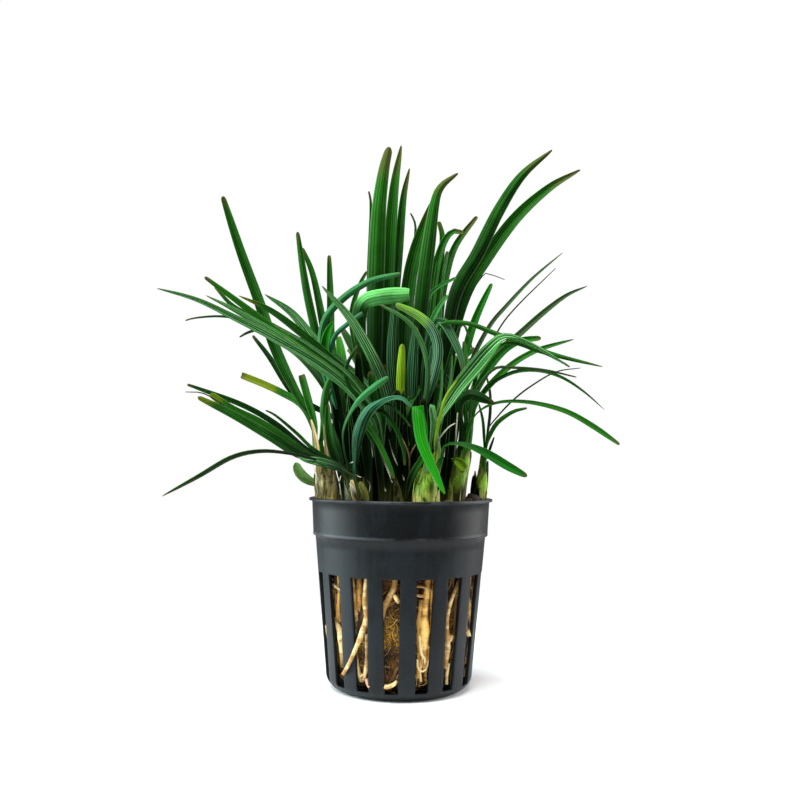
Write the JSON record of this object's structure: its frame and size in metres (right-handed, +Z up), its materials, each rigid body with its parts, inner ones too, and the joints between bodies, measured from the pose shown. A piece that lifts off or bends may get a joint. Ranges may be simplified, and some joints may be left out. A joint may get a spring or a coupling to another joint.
{
  "type": "potted mondo grass",
  "caption": "Tuft of mondo grass with arching strap leaves, pale stem bases and tan roots, growing in fibrous wool in a dark slotted net pot.",
  "frame": {"origin": "middle of the pot's flat base, on the surface that it stands on", "axes": "+Z up along the pot's axis, -Y towards the side that the plant shows best, +X to the right of it"},
  "size_m": [0.1176, 0.0941, 0.1544],
  "materials": {
    "pot": "satin moulded plastic, a little dusty",
    "growing_wool": "rough fibrous wool, damp and dark",
    "root": "smooth pale tan root skin",
    "sheath": "papery cream and brown leaf bases",
    "leaf": "satin dark green with fine lengthwise veins",
    "leaf_light": "satin light green with pale lengthwise stripes",
    "leaf_olive": "satin yellow-olive, ageing to brown"
  },
  "bodies": {
    "root": {"pot": "pot", "growing_wool": "growing_wool", "root_outside": "root", "root_tuber": "root", "root_front": "root", "root_right": "root", "shoot_left": "sheath", "shoot_front_left": "sheath", "shoot_centre": "sheath", "shoot_mid": "sheath", "shoot_front_right": "sheath", "shoot_thick": "sheath", "shoot_right": "sheath", "shoot_tall": "sheath", "shoot_back_right": "sheath", "shoot_back_left": "sheath", "shoot_back": "sheath", "leaf_left_tall": "leaf", "leaf_left_cut": "leaf_olive", "leaf_left_inner": "leaf", "leaf_low_left": "leaf", "leaf_low_left_upper": "leaf", "leaf_droop_left": "leaf", "leaf_teal_arch": "leaf_light", "leaf_front_arch": "leaf_light", "leaf_diagonal_low": "leaf", "leaf_diagonal_long": "leaf", "leaf_yellow_tip": "leaf", "leaf_light_left": "leaf_light", "leaf_striped": "leaf_light", "leaf_left_upright": "leaf", "leaf_left_second": "leaf", "leaf_left_short": "leaf", "leaf_mint_arch": "leaf_light", "leaf_back_left": "leaf", "leaf_tall_broad": "leaf", "leaf_tall_second": "leaf", "leaf_tall_third": "leaf", "leaf_folded": "leaf_light", "leaf_mid_left": "leaf", "leaf_centre_broad": "leaf", "leaf_centre_second": "leaf", "leaf_arch_fine": "leaf_light", "leaf_arch_lime": "leaf_light", "leaf_right_tall": "leaf", "leaf_right_tall_outer": "leaf", "leaf_back_point": "leaf", "leaf_bright_short": "leaf_light", "leaf_right_fine": "leaf", "leaf_right_over": "leaf_light", "leaf_bright_front": "leaf_light", "leaf_broad_right": "leaf_light", "leaf_low_right": "leaf", "leaf_right_blunt": "leaf", "leaf_right_long": "leaf", "leaf_right_high": "leaf_olive", "leaf_right_arc": "leaf", "leaf_right_dark": "leaf", "leaf_back_long": "leaf", "leaf_back_upright": "leaf"}
  },
  "joints": []
}
